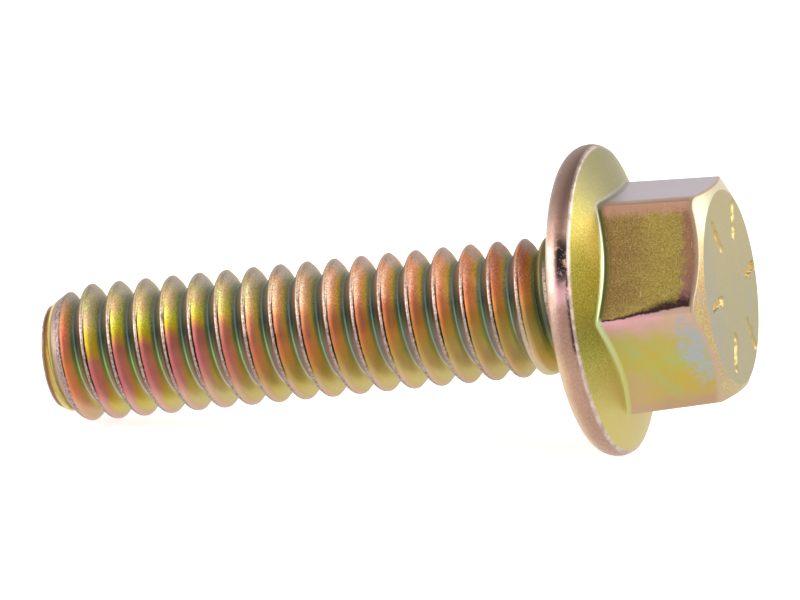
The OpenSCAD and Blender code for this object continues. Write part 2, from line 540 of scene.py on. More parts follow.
def make_camera():
    azimuth, elevation = math.radians(CAMERA_AZIMUTH), math.radians(CAMERA_ELEVATION)
    level = math.cos(elevation)
    back = Vector((math.sin(azimuth) * level, -math.cos(azimuth) * level, math.sin(elevation)))
    data = bpy.data.cameras.new("camera")
    data.lens = CAMERA_LENS
    data.sensor_width = CAMERA_SENSOR
    data.clip_start = 0.01
    data.clip_end = 20
    camera = bpy.data.objects.new("camera", data)
    camera.location = (CAMERA_AIM + back * CAMERA_DISTANCE) * MM
    camera.rotation_mode = "QUATERNION"
    camera.rotation_quaternion = (-back).to_track_quat("-Z", "Y")
    bpy.context.collection.objects.link(camera)
    bpy.context.scene.camera = camera


class Graph:
    """Short calls for wiring a node tree."""

    def __init__(self, tree):
        self.tree = tree
        tree.nodes.clear()

    def node(self, kind, inputs=None, **settings):
        """A new node, with its inputs set or linked by name or number."""
        made = self.tree.nodes.new(kind)
        for name, value in settings.items():
            setattr(made, name, value)
        for place, value in (inputs or {}).items():
            self.feed(made.inputs[place], value)
        return made

    def feed(self, socket, value):
        """Links a socket to another one, or sets it to a constant."""
        if isinstance(value, bpy.types.NodeSocket):
            self.tree.links.new(value, socket)
        elif hasattr(socket.default_value, "__len__") and len(value) < len(socket.default_value):
            socket.default_value = (*value, 1)
        else:
            socket.default_value = value

    def shader(self, kind, inputs):
        return self.node(kind, inputs).outputs[0]

    def number(self, name):
        return self.node("ShaderNodeAttribute", attribute_name=name).outputs["Fac"]

    def vector(self, name):
        return self.node("ShaderNodeAttribute", attribute_name=name).outputs["Vector"]

    def part(self, vector, axis):
        """One of the three numbers of a vector."""
        return self.node("ShaderNodeSeparateXYZ", {0: vector}).outputs[axis]

    def vector_math(self, operation, inputs):
        return self.node("ShaderNodeVectorMath", inputs, operation=operation).outputs

    def dot(self, vector, way):
        return self.vector_math("DOT_PRODUCT", {0: vector, 1: way})["Value"]

    def scaled(self, vector, scale):
        return self.vector_math("MULTIPLY", {0: vector, 1: scale})[0]

    def dimmed(self, colour, share):
        return self.vector_math("SCALE", {0: colour, "Scale": share})[0]

    def math(self, operation, *values):
        return self.node("ShaderNodeMath", dict(enumerate(values)), operation=operation).outputs[0]

    def both(self, first, *others):
        """Product of masks, which is 1 only where all of them are."""
        product = first
        for mask in others:
            product = self.math("MULTIPLY", product, mask)
        return product

    def wobble(self, noise, span):
        """Shift that goes half of a span to either side, from a noise of 0 to 1."""
        return self.math("MULTIPLY_ADD", noise, span, -span / 2)

    def step(self, value, low, high, to_low=0.0, to_high=1.0):
        """Smooth change from one level to another while a value goes from low to high, or down to it."""
        inputs = dict(enumerate((value, low, high, to_low, to_high)))
        return self.node("ShaderNodeMapRange", inputs, interpolation_type="SMOOTHSTEP").outputs[0]

    def between(self, value, low, full, end, past):
        """Mask that rises from low to full and falls again from end to past."""
        return self.both(self.step(value, low, full), self.step(value, past, end))

    def noise(self, vector, scale, detail=3.0, rough=0.5):
        inputs = {"Vector": vector, "Scale": scale, "Detail": detail, "Roughness": rough}
        return self.node("ShaderNodeTexNoise", inputs).outputs["Fac"]

    def ramp(self, value, stops):
        """Colour at a value, from stops of a place and a colour each."""
        made = self.node("ShaderNodeValToRGB", {"Fac": value})
        points = made.color_ramp.elements
        while len(points) < len(stops):
            points.new(1.0)
        for point, (place, colour) in zip(points, stops):
            point.position = place
            point.color = (*colour, 1)
        return made.outputs["Color"]

    def mix(self, share, a, b):
        """Colour a with a share of colour b over it."""
        made = self.node("ShaderNodeMix", {0: share}, data_type="RGBA")
        colours = [socket for socket in made.inputs if socket.type == "RGBA"]
        self.feed(colours[0], a)
        self.feed(colours[1], b)
        return next(socket for socket in made.outputs if socket.type == "RGBA")

    def tint(self, colour, other, value, low, high, most=1.0):
        """Colour with another one over it, more and more while a value goes from low to high."""
        return self.mix(self.step(value, low, high, 0.0, most), colour, other)


def around(graph, own):
    """How far down the screw a place lies, from 0 on top to 1 underneath, and its way out from the axis."""
    way = graph.vector_math("NORMALIZE", {0: graph.scaled(own, (1, 1, 0))})[0]
    return graph.math("MULTIPLY_ADD", graph.part(way, 0), 0.5, 0.5), way


def toward(graph, way, angle, inner, outer):
    """Mask that is 1 within an angle of a direction round the axis and 0 past a wider one, in degrees."""
    aim = math.radians(angle)
    near = graph.dot(way, (math.cos(aim), math.sin(aim), 0))
    return graph.step(near, math.cos(math.radians(outer)), math.cos(math.radians(inner)))


def across_flat(graph, way, angle):
    """Place across the flat that faces an angle round the axis, from -1 at one corner to 1 at the next."""
    aim = math.radians(angle)
    ahead = graph.dot(way, (math.cos(aim), math.sin(aim), 0))
    aside = graph.dot(way, (-math.sin(aim), math.cos(aim), 0))
    return graph.math("DIVIDE", aside, graph.math("MULTIPLY", ahead, math.tan(HALF_SIDE)))


def crest_offset(graph):
    """Distance along the axis from the thread's crest, in mm: above 0 on the flank that faces the head."""
    angle = graph.math("ARCTAN2", graph.number("side"), graph.number("crest"))
    return graph.math("MULTIPLY", angle, PITCH / (2 * math.pi))


def thread_colour(graph, own, lie, z, offset, grain):
    """Chromate colours of the thread, with painted light and shade: flanks and root, then neck, crest, end
    and the fold's painted shade over them.
    """
    turn = graph.number("turn")
    colour = broad_flank(graph, own, lie, offset, turn)
    colour = flank_light(graph, lie, offset, turn, grain, colour)
    back = back_flank(graph, lie, offset, turn, grain)
    colour = graph.tint(colour, back, offset, -0.1, -0.13)
    from_crest = graph.math("ABSOLUTE", offset)
    low = graph.both(graph.step(from_crest, 0.58, 0.62), graph.step(turn, 0.9, 1.1))
    colour = graph.mix(low, colour, root_colour(graph, lie, turn))
    colour = graph.mix(graph.step(turn, *NECK_TURN), colour, neck_colour(graph, lie))
    colour = crest_colour(graph, own, lie, offset, turn, colour)
    colour = end_colour(graph, own, z, offset, turn, colour)
    # Painted shade in the fold beside the crest.
    return graph.mix(seam_shade_mask(graph, own, lie, offset, turn), colour, (0.045, 0.028, 0.022))


def broad_flank(graph, own, lie, offset, turn):
    """Flank that faces the head, in bands that climb round the screw along its length."""
    drift = graph.noise(graph.scaled(own, (0.15, 0.15, 0.4)), 1.0, 2.0)
    climb = graph.math("ADD", lie, graph.wobble(drift, 0.3))
    climb = graph.math("MULTIPLY_ADD", turn, CLIMB_PER_TURN, climb)
    inward = graph.math("ADD", offset, graph.step(lie, 0.74, 0.92, 0.0, 0.16))
    middle = middle_flank(graph, graph.math("SUBTRACT", climb, MIDDLE_TURN * CLIMB_PER_TURN), inward)
    tip = tip_flank(graph, graph.math("SUBTRACT", climb, TIP_TURN * CLIMB_PER_TURN), inward)
    colour = graph.mix(graph.step(turn, *TIP_COLOURS), middle, tip)
    gold = graph.both(graph.between(lie, 0.18, 0.3, 0.42, 0.5), graph.step(turn, *SECOND_CREST, 0.0, 0.6))
    colour = graph.mix(gold, colour, (0.86, 0.5, 0.05))
    by_root = graph.step(offset, 0.32, 0.5, 0.0, 0.6)
    first = graph.mix(by_root, first_flank(graph, lie), (0.62, 0.4, 0.06))
    return graph.mix(graph.step(turn, *FIRST_FLANK), colour, first)


def middle_flank(graph, lie, offset):
    """Salmon and coral on the crest's side, gold and orange on the root's side, as on most of the thread."""
    outer = graph.ramp(lie, (
        (0.0, (0.52, 0.41, 0.22)), (0.05, (0.72, 0.42, 0.24)), (0.14, (0.88, 0.42, 0.24)),
        (0.24, (0.92, 0.37, 0.16)), (0.33, (0.76, 0.28, 0.14)), (0.42, (0.64, 0.2, 0.1)),
        (0.55, (0.64, 0.22, 0.08)), (0.67, (0.6, 0.28, 0.07)), (0.77, (0.56, 0.37, 0.1)),
        (0.87, (0.59, 0.43, 0.15)), (1.0, (0.66, 0.5, 0.18)),
    ))
    inner = graph.ramp(lie, (
        (0.0, (0.52, 0.46, 0.18)), (0.1, (0.74, 0.52, 0.1)), (0.24, (0.86, 0.54, 0.06)),
        (0.36, (0.9, 0.5, 0.07)), (0.47, (0.74, 0.31, 0.07)), (0.6, (0.72, 0.33, 0.05)),
        (0.72, (0.6, 0.38, 0.06)), (0.8, (0.56, 0.44, 0.08)), (0.9, (0.71, 0.58, 0.13)),
        (1.0, (0.74, 0.6, 0.21)),
    ))
    return graph.tint(outer, inner, offset, 0.25, 0.48)


def tip_flank(graph, lie, offset):
    """Yellow-green above, a quick change to rose at mid height, and gold below, as near the end."""
    outer = graph.ramp(lie, (
        (0.0, (0.5, 0.42, 0.2)), (0.07, (0.56, 0.49, 0.22)), (0.13, (0.74, 0.49, 0.26)),
        (0.19, (0.82, 0.58, 0.2)), (0.25, (0.76, 0.68, 0.08)), (0.33, (0.7, 0.54, 0.03)),
        (0.38, (0.76, 0.34, 0.08)), (0.44, (0.64, 0.19, 0.16)), (0.68, (0.64, 0.19, 0.19)),
        (0.8, (0.7, 0.28, 0.23)), (0.9, (0.72, 0.42, 0.28)), (1.0, (0.7, 0.46, 0.29)),
    ))
    inner = graph.ramp(lie, (
        (0.0, (0.5, 0.45, 0.2)), (0.14, (0.58, 0.6, 0.17)), (0.24, (0.66, 0.72, 0.05)),
        (0.32, (0.8, 0.66, 0.03)), (0.38, (0.86, 0.54, 0.04)), (0.46, (0.72, 0.27, 0.11)),
        (0.68, (0.7, 0.27, 0.12)), (0.8, (0.72, 0.42, 0.07)), (0.87, (0.74, 0.58, 0.08)),
        (0.94, (0.76, 0.63, 0.17)), (1.0, (0.72, 0.6, 0.23)),
    ))
    return graph.tint(outer, inner, offset, 0.26, 0.5)


def first_flank(graph, lie):
    """Coral, as on the first turn of the thread."""
    return graph.ramp(lie, (
        (0.0, (0.5, 0.4, 0.3)), (0.1, (0.86, 0.4, 0.16)), (0.2, (1.0, 0.29, 0.14)),
        (0.33, (1.0, 0.27, 0.16)), (0.48, (0.88, 0.3, 0.1)), (0.68, (0.88, 0.28, 0.12)),
        (0.84, (0.84, 0.42, 0.24)), (1.0, (0.72, 0.5, 0.28)),
    ))


def flank_light(graph, lie, offset, turn, grain, colour):
    """Broad flank's colour: grey top, pale lower side, painted highlight, painted shade by the root,
    sparkle, painted light and shade.
    """
    colour = graph.tint(colour, (0.48, 0.39, 0.33), lie, 0.04, 0.0, 0.75)
    side = graph.both(graph.step(lie, 0.72, 0.86), graph.step(offset, 0.24, 0.08), 0.6)
    colour = graph.mix(side, colour, (0.84, 0.54, 0.44))
    # Painted highlight: grainy cream shine beside the crest.
    glint = graph.mix(graph.step(turn, 7.0, 11.0), (1.0, 0.88, 0.46), (1.0, 0.76, 0.6))
    colour = graph.mix(shine_mask(graph, lie, offset, turn, grain), colour, glint)
    # Painted shade: dark olive on the flank beside the root.
    root_shade = graph.ramp(lie, (
        (0.1, (0.36, 0.38, 0.2)), (0.3, (0.15, 0.23, 0.14)), (0.5, (0.23, 0.32, 0.11)),
        (0.7, (0.38, 0.37, 0.08)), (0.85, (0.62, 0.53, 0.13)),
    ))
    colour = graph.tint(colour, root_shade, offset, 0.43, 0.55)
    sparkle = graph.dimmed(colour, graph.step(grain, 0.34, 0.66, 0.7, 1.25))
    colour = graph.mix(graph.step(lie, 0.4, 0.2, 0.15, 1.0), colour, sparkle)
    # Painted light and shade over the flank's height.
    return graph.dimmed(colour, flank_painted_light(graph, lie, offset, turn))


def shine_mask(graph, lie, offset, turn, grain):
    """Painted highlight: grainy shine beside the crest, high on the screw and strongest half way along it.
    """
    place = graph.both(graph.between(lie, 0.03, 0.1, 0.18, 0.3), graph.step(offset, 0.32, 0.12))
    half_way = graph.both(graph.step(turn, 11.5, 15.5, 1.0, 0.3), graph.step(turn, 7.0, 5.5, 1.0, 0.35))
    return graph.both(place, half_way, graph.step(grain, 0.38, 0.6, 0.25, 0.8))


def flank_painted_light(graph, lie, offset, turn):
    """Painted light and shade on the broad flank: less of its colour at mid height as painted shade, and
    more above that by the head as painted light.
    """
    by_head = graph.step(turn, 13.0, 16.0)
    above = graph.both(graph.between(lie, 0.06, 0.16, 0.31, 0.44), 0.3)
    gain = graph.math("SUBTRACT", above, graph.step(lie, 0.7, 0.84, 0.0, 0.12))
    middle = graph.between(lie, 0.19, 0.33, 0.4, 0.53)
    loss = graph.both(middle, graph.step(offset, 0.5, 0.3, 0.18, 0.26))
    from_end = graph.math("SUBTRACT", 1.0, loss)
    return graph.math("MULTIPLY_ADD", by_head, graph.math("ADD", gain, loss), from_end)


def back_flank(graph, lie, offset, turn, grain):
    """Flank that faces the end: nearly black above mid height as painted shade in the groove, paler below,
    and mauve there by the head.
    """
    inner = graph.ramp(lie, (
        (0.1, (0.4, 0.38, 0.36)), (0.3, (0.12, 0.16, 0.15)), (0.5, (0.32, 0.4, 0.22)),
        (0.7, (0.6, 0.62, 0.34)), (0.85, (0.7, 0.58, 0.54)),
    ))
    outer = graph.ramp(lie, (
        (0.1, (0.44, 0.3, 0.25)), (0.3, (0.12, 0.08, 0.065)), (0.5, (0.12, 0.1, 0.06)),
        (0.65, (0.26, 0.2, 0.17)), (0.8, (0.5, 0.38, 0.34)),
    ))
    by_head = graph.both(graph.step(turn, 4.5, 9.5), graph.step(lie, 0.38, 0.58))
    inner = graph.mix(graph.both(by_head, 0.7), inner, (0.4, 0.43, 0.5))
    outer = graph.mix(graph.both(by_head, 0.8), outer, (0.6, 0.42, 0.52))
    place = graph.math("MULTIPLY_ADD", by_head, 0.1, offset)
    colour = graph.mix(graph.step(place, -0.4, -0.26), inner, outer)
    return graph.tint(colour, (0.5, 0.4, 0.26), grain, 0.5, 0.66, 0.35)


def root_colour(graph, lie, turn):
    """Root that is grey above, green in front with its brightness a painted highlight, and mauve below, with
    more grey by the head.
    """
    colour = graph.ramp(lie, (
        (0.1, (0.4, 0.4, 0.4)), (0.3, (0.34, 0.44, 0.42)), (0.55, (0.8, 0.95, 0.5)),
        (0.8, (0.74, 0.62, 0.68)),
    ))
    grey = graph.both(graph.step(turn, 8.0, 13.0, 0.0, 0.8), graph.step(lie, 0.3, 0.5))
    return graph.mix(grey, colour, (0.5, 0.56, 0.6))


def neck_colour(graph, lie):
    """Olive, and nearly black as painted shade, between the last crest and the flange."""
    return graph.ramp(lie, (
        (0.05, (0.34, 0.3, 0.12)), (0.3, (0.15, 0.16, 0.08)), (0.55, (0.1, 0.12, 0.09)),
        (0.75, (0.26, 0.27, 0.1)), (0.9, (0.62, 0.55, 0.2)),
    ))


def crest_colour(graph, own, lie, offset, turn, colour):
    """Pale, speckled crest with a painted highlight above mid height, and the broad gold of the last one,
    laid over the flanks' colour.
    """
    strip = graph.ramp(graph.noise(own, 9.0, 3.0, 0.6), (
        (0.36, (0.42, 0.29, 0.23)), (0.6, (0.95, 0.78, 0.68)),
    ))
    # Painted highlight: the strip is brighter above mid height and dimmer below.
    strip = graph.dimmed(strip, graph.step(lie, 0.28, 0.46, 1.0, 0.6))
    lip = graph.both(graph.between(offset, -0.12, -0.09, 0.015, 0.04), graph.step(lie, 0.06, 0.2))
    colour = graph.mix(lip, colour, strip)
    broad = graph.between(offset, -0.24, -0.16, 0.18, 0.26)
    last = graph.both(broad, graph.between(turn, *LAST_CREST))
    return graph.mix(last, colour, (0.76, 0.62, 0.36))


def end_colour(graph, own, z, offset, turn, colour):
    """First crest, which the end's chamfer cuts off, and the rings before it."""
    ragged = graph.math("MULTIPLY_ADD", graph.noise(own, 7.0, 3.0, 0.7), 0.8, graph.number("cut"))
    colour = graph.mix(graph.step(ragged, 0.8, 1.0), colour, shaved_colour(graph, own))
    before = graph.both(graph.step(turn, 1.3, 1.1), graph.step(offset, -0.08, -0.2))
    before = graph.math("MAXIMUM", before, graph.step(turn, 0.48, 0.4))
    return graph.mix(before, colour, end_stripes(graph, own, z))


def shaved_colour(graph, own):
    """Pale pink of the crest that is cut off."""
    return graph.ramp(graph.noise(own, 8.0, 4.0, 0.7), (
        (0.36, (0.2, 0.13, 0.11)), (0.64, (0.64, 0.47, 0.43)),
    ))


def end_stripes(graph, own, z):
    """Grey edge, then brown, gold and olive rings on the chamfer at the end."""
    rings_per_mm = 1.25
    wavy = graph.math("ADD", z, graph.wobble(graph.noise(own, 1.5, 4.0), 0.12))
    place = graph.math("MULTIPLY_ADD", wavy, rings_per_mm, rings_per_mm * SHANK_L)
    return graph.ramp(place, (
        (0.0, (0.6, 0.5, 0.47)), (0.09, (0.44, 0.3, 0.24)), (0.17, (0.26, 0.13, 0.06)),
        (0.29, (0.4, 0.2, 0.05)), (0.37, (0.8, 0.52, 0.14)), (0.44, (1.0, 0.88, 0.4)),
        (0.55, (1.0, 0.84, 0.26)), (0.64, (0.36, 0.26, 0.09)), (0.74, (0.5, 0.36, 0.28)),
    ))


def seam_shade_mask(graph, own, lie, offset, turn):
    """Painted shade in the fold beside the crest: a dark, broken line, which fades above, below and on the
    last crest.
    """
    aside = graph.math("SUBTRACT", offset, graph.step(turn, 1.4, 1.15, 0.0, 0.07))
    shift = graph.math("ADD", graph.wobble(graph.noise(own, 3.0, 2.0), 0.05), SEAM_PLACE)
    away = graph.math("ABSOLUTE", graph.math("SUBTRACT", aside, shift))
    crinkle = graph.noise(own, 6.0, 3.0, 0.7)
    line = graph.both(graph.step(away, 0.045, 0.015), graph.step(crinkle, 0.35, 0.46), 0.94)
    not_last = graph.math("SUBTRACT", 1.0, graph.between(turn, *LAST_CREST))
    return graph.both(line, graph.between(lie, 0.14, 0.32, 0.56, 0.78), not_last)


def rim_colour(graph, own, way, lie, z):
    """Rim that runs from pale pink at the bearing face, partly a painted highlight, to mauve-brown in front,
    with painted light and shade, peach, a blush and soot.
    """
    patch = graph.noise(own, 0.6, 4.0, 0.6)
    height = graph.math("ADD", z, graph.wobble(patch, 0.8))
    colour = graph.ramp(height, (
        (0.0, (1.0, 0.82, 0.72)), (0.22, (0.92, 0.7, 0.58)), (0.42, (0.63, 0.4, 0.32)),
        (0.7, (0.5, 0.29, 0.22)), (1.0, (0.44, 0.26, 0.21)),
    ))
    # Painted light: brighter on the upper part and low down, dimmer round the middle.
    light = graph.math("ADD", graph.step(lie, 0.36, 0.48, 1.34, 0.86), graph.step(lie, 0.54, 0.66, 0.0, 0.2))
    speck = graph.step(graph.noise(own, 9.0, 5.0, 0.75), 0.36, 0.64, 0.86, 1.12)
    colour = graph.dimmed(colour, graph.both(light, speck))
    # Painted shade on the rim's top.
    colour = graph.tint(colour, (0.22, 0.14, 0.11), lie, 0.26, 0.08, 0.8)
    peach = graph.both(graph.step(lie, 0.48, 0.6), graph.step(height, 0.7, 0.25, 0.15, 0.6))
    colour = graph.mix(peach, colour, (0.74, 0.5, 0.24))
    blush = graph.both(toward(graph, way, RIM_BLUSH, 3, 9), graph.step(height, 0.35, 0.65), 0.8)
    colour = graph.mix(blush, colour, (0.92, 0.52, 0.54))
    return graph.mix(soot_mask(graph, own, way, z), colour, (0.04, 0.03, 0.03))


def soot_mask(graph, own, way, z):
    """Flecked smear on the rim, and a line along its front edge."""
    smear = graph.both(toward(graph, way, RIM_SMEAR, 3, 12), graph.step(z, 0.45, 0.8))
    line = graph.both(toward(graph, way, RIM_LINE, 12, 22), graph.step(z, 0.98, 1.14))
    fleck = graph.noise(own, 3.0, 5.0, 0.7)
    return graph.both(graph.math("MAXIMUM", smear, line), graph.step(fleck, 0.36, 0.52))


def cone_colour(graph, own, way, lie, grain):
    """Grainy olive-gold cone of the flange, with painted shade on top and speckled painted shade in front,
    and tan below.
    """
    colour = graph.ramp(graph.noise(own, 0.35, 3.0), (
        (0.3, (0.5, 0.43, 0.08)), (0.55, (0.56, 0.49, 0.12)), (0.75, (0.5, 0.44, 0.15)),
    ))
    colour = graph.tint(colour, (0.34, 0.28, 0.04), grain, 0.42, 0.62, 0.5)
    colour = graph.tint(colour, (0.72, 0.64, 0.2), grain, 0.5, 0.36, 0.6)
    # Painted shade on the cone's top.
    colour = graph.tint(colour, (0.3, 0.27, 0.14), lie, 0.16, 0.02, 0.8)
    # Speckled painted shade in front.
    speckle = graph.mix(graph.step(grain, 0.4, 0.6), (0.42, 0.4, 0.08), (0.24, 0.22, 0.04))
    colour = graph.mix(toward(graph, way, CONE_SHADE, 8, 30), colour, speckle)
    return graph.tint(colour, (0.66, 0.54, 0.17), lie, 0.62, 0.9)


def edge_colour(graph, own):
    """Pale, nicked edge between the rim and the cone: its paleness is a painted highlight, broken by nicks.
    """
    nick = graph.step(graph.noise(own, 1.6, 5.0, 0.6), 0.4, 0.55)
    return graph.mix(nick, (0.5, 0.37, 0.3), (0.74, 0.58, 0.5))


def foot_colour(graph, way, lie):
    """Green fillet at the hexagon's foot, painted bright as a highlight in front and duller on top, with a
    line of painted shade under the upper front flat.
    """
    colour = graph.ramp(lie, (
        (0.1, (0.4, 0.36, 0.28)), (0.25, (0.79, 1.0, 0.6)), (0.5, (0.6, 0.68, 0.34)),
        (0.8, (0.62, 0.58, 0.2)),
    ))
    shaded = graph.both(graph.step(graph.number("up"), 0.01, 0.03), toward(graph, way, UPPER_FLAT, 27, 30))
    return graph.mix(shaded, colour, (0.16, 0.17, 0.05))


def flat_colour(graph, own, way, grain):
    """Six flats: patches on the three at the back, and own colours on the top one and the two in front."""
    up = graph.number("up")
    colour = graph.ramp(graph.noise(own, 0.45, 3.0), (
        (0.3, (0.6, 0.44, 0.2)), (0.5, (0.64, 0.54, 0.18)), (0.7, (0.66, 0.46, 0.32)),
    ))
    for angle, layer in (
        (TOP_FLAT, top_flat(graph, way)),
        (UPPER_FLAT, upper_flat(graph, own, way, up, grain)),
        (LOWER_FLAT, lower_flat(graph, own, way, up)),
    ):
        colour = graph.mix(toward(graph, way, angle, *FLAT_REACH), colour, layer)
    return colour


def top_flat(graph, way):
    """Lilac, with a brown border along the front corner."""
    border = graph.step(across_flat(graph, way, TOP_FLAT), 0.7, 0.86)
    return graph.mix(border, (0.57, 0.49, 0.53), (0.5, 0.33, 0.24))


def upper_flat(graph, own, way, up, grain):
    """Grainy olive-gold middle, brown and mauve borders, painted shade along its foot, and a dark line along
    the lower corner.
    """
    across = across_flat(graph, way, UPPER_FLAT)
    ragged = graph.wobble(graph.noise(own, 2.5, 6.0, 0.75), 0.4)
    side = graph.math("ADD", across, ragged)
    end = graph.math("ADD", up, ragged)
    patch = graph.wobble(graph.noise(own, 0.7, 3.0), 1.2)
    golden = graph.step(graph.math("ADD", end, patch), -0.1, 0.8)
    middle = graph.mix(golden, (0.46, 0.26, 0.1), (0.57, 0.41, 0.1))
    middle = graph.tint(middle, (0.94, 0.76, 0.26), grain, 0.48, 0.64, 0.4)
    middle = graph.tint(middle, (0.2, 0.12, 0.03), grain, 0.48, 0.34, 0.55)
    border = graph.mix(graph.step(across, 0.0, 0.7), (0.54, 0.28, 0.16), (0.46, 0.23, 0.22))
    border = graph.mix(graph.step(grain, 0.44, 0.6, 0.5, 0.0), border, (0.34, 0.16, 0.1))
    colour = graph.tint(middle, border, end, 0.78, 0.9)
    colour = graph.tint(colour, (0.88, 0.48, 0.32), side, -0.7, -0.92)
    # Painted shade along the flat's foot, by the fillet.
    colour = graph.tint(colour, (0.2, 0.19, 0.05), up, 0.12, 0.03, 0.8)
    streak = graph.noise(graph.scaled(own, (1.4, 1.4, 13.0)), 1.0, 2.0)
    colour = graph.tint(colour, (1.0, 0.84, 0.56), streak, 0.66, 0.74, 0.5)
    return corner_colour(graph, own, up, across, ragged, colour)


def corner_colour(graph, own, up, across, ragged, colour):
    """Frayed dark line on the upper flat, which widens to the top, and the pink round corner past it."""
    wavy = graph.math("MULTIPLY_ADD", ragged, 0.3, across)
    past = graph.math("SUBTRACT", wavy, graph.step(up, 0.0, 1.0, 0.97, 0.86))
    width = graph.step(up, 0.15, 0.95, 0.02, 0.24)
    fray = graph.wobble(graph.noise(own, 5.0, 5.0, 0.75), 1.2)
    line = graph.step(graph.math("ADD", graph.math("DIVIDE", past, width), fray), -1.3, -0.2)
    hook = graph.both(graph.step(up, 0.9, 0.96), graph.step(across, 0.62, 0.84))
    colour = graph.mix(graph.math("MAXIMUM", line, hook), colour, (0.07, 0.035, 0.035))
    pink = graph.mix(graph.step(up, 0.4, 0.8), (0.76, 0.4, 0.43), (0.64, 0.42, 0.32))
    corner = graph.both(graph.step(past, 0.0, 0.03), graph.step(up, 0.975, 0.95))
    return graph.mix(corner, colour, pink)


def lower_flat(graph, own, way, up):
    """Yellow middle with gold and green patches, mauve upper border, tan ends and bare silvery scuffs."""
    across = across_flat(graph, way, LOWER_FLAT)
    ragged = graph.wobble(graph.noise(own, 1.2, 3.0), 0.4)
    side = graph.math("MULTIPLY_ADD", graph.math("ADD", across, ragged), 0.5, 0.5)
    colour = graph.ramp(side, (
        (0.0, (0.84, 0.43, 0.46)), (0.1, (0.68, 0.4, 0.32)), (0.2, (0.54, 0.46, 0.14)),
        (0.5, (0.54, 0.48, 0.1)), (0.78, (0.56, 0.43, 0.12)), (1.0, (0.56, 0.34, 0.22)),
    ))
    patch = graph.noise(own, 0.9, 3.0)
    inside = graph.between(side, 0.14, 0.26, 0.8, 0.95)
    gold = graph.both(graph.step(patch, 0.48, 0.62, 0.0, 0.6), inside)
    colour = graph.mix(gold, colour, (0.62, 0.43, 0.07))
    green = graph.both(graph.step(patch, 0.46, 0.36, 0.0, 0.6), inside)
    colour = graph.mix(green, colour, (0.46, 0.5, 0.15))
    top_corner = graph.both(graph.step(up, 0.45, 0.8), graph.step(across, -0.4, -0.7), 0.7)
    colour = graph.mix(top_corner, colour, (0.64, 0.46, 0.26))
    foot_corner = graph.both(graph.step(up, 0.5, 0.1), graph.step(across, -0.2, 0.4), 0.6)
    colour = graph.mix(foot_corner, colour, (0.62, 0.42, 0.24))
    return graph.mix(scuff_mask(graph, own, up, across), colour, (0.43, 0.46, 0.51))


def scuff_mask(graph, own, up, across):
    """Flecks that gather round a place near the lower flat's top."""
    rise = graph.math("MULTIPLY_ADD", up, 4.2, -3.7)
    slide = graph.math("MULTIPLY_ADD", across, 1.3, 0.25)
    away = graph.math("ADD", graph.math("MULTIPLY", rise, rise), graph.math("MULTIPLY", slide, slide))
    fleck = graph.noise(own, 3.0, 8.0, 0.9)
    return graph.step(graph.math("MULTIPLY_ADD", graph.step(away, 1.8, 0.0), 0.18, fleck), 0.58, 0.72)


def chamfer_colour(graph, own, lie, grain):
    """Grainy chamfer, with a painted cream highlight at the top, and gold, orange and pink patches in front.
    """
    colour = graph.ramp(graph.noise(own, 0.7, 4.0, 0.6), (
        (0.32, (0.56, 0.48, 0.22)), (0.46, (0.58, 0.38, 0.13)), (0.56, (0.56, 0.38, 0.22)),
        (0.7, (0.5, 0.42, 0.16)),
    ))
    colour = graph.tint(colour, (0.82, 0.72, 0.46), grain, 0.45, 0.65, 0.6)
    # Painted highlight: cream on the chamfer's top.
    return graph.tint(colour, (0.84, 0.77, 0.54), lie, 0.24, 0.1, 0.8)


def top_colour(graph, own, grain):
    """Grey-olive top with faint grey, yellow and pink patches."""
    colour = graph.ramp(graph.noise(own, 0.8, 4.0, 0.6), (
        (0.3, (0.4, 0.39, 0.3)), (0.45, (0.48, 0.41, 0.2)), (0.58, (0.46, 0.4, 0.21)),
        (0.72, (0.55, 0.43, 0.27)),
    ))
    high = graph.step(graph.dot(own, (-1, 0, 0)), -1.5, 3.0, 0.0, 0.6)
    colour = graph.mix(high, colour, (0.58, 0.46, 0.19))
    near = graph.step(graph.dot(own, (0, -1, 0)), 1.0, 3.6, 0.0, 0.6)
    colour = graph.mix(near, colour, (0.42, 0.39, 0.31))
    return graph.tint(colour, (0.36, 0.31, 0.17), grain, 0.35, 0.65, 0.3)


def head_colour(graph, own, way, lie, z, grain, colour):
    """Chromate colours of the neck, flange and hexagon, zone by zone over the thread's colour."""
    rim = rim_colour(graph, own, way, lie, z)
    chamfer = chamfer_colour(graph, own, lie, grain)
    for zone, reach, layer in (
        ("neck", EVEN_ZONE, neck_colour(graph, lie)),
        ("bearing", EVEN_ZONE, rim),
        ("rim", BROAD_ZONE, rim),
        ("cone", BROAD_ZONE, cone_colour(graph, own, way, lie, grain)),
        ("edge", THIN_ZONE, edge_colour(graph, own)),
        ("flat", BROAD_ZONE, flat_colour(graph, own, way, grain)),
        ("foot", THIN_ZONE, foot_colour(graph, way, lie)),
        ("shoulder", EVEN_ZONE, (0.62, 0.44, 0.3)),
        ("chamfer", EVEN_ZONE, chamfer),
        ("brim", EVEN_ZONE, chamfer),
        ("top", EVEN_ZONE, top_colour(graph, own, grain)),
        ("dash", EVEN_ZONE, (0.76, 0.5, 0.16)),
    ):
        colour = graph.mix(graph.step(graph.number(zone), *reach), colour, layer)
    return colour


def worn_share(graph, lie, offset, thread):
    """How much less metallic the thread is: most on its broad flank, away from the crest."""
    high = graph.step(graph.number("turn"), 9.0, 16.0, 0.15, 0.4)
    dull = graph.both(graph.step(lie, 0.08, 0.34, high, 0.4), graph.step(lie, 0.84, 0.66))
    dull = graph.both(dull, graph.step(offset, 0.14, 0.34))
    return graph.both(graph.math("ADD", dull, graph.step(lie, 0.1, 0.4, 0.08, 0.2)), thread)


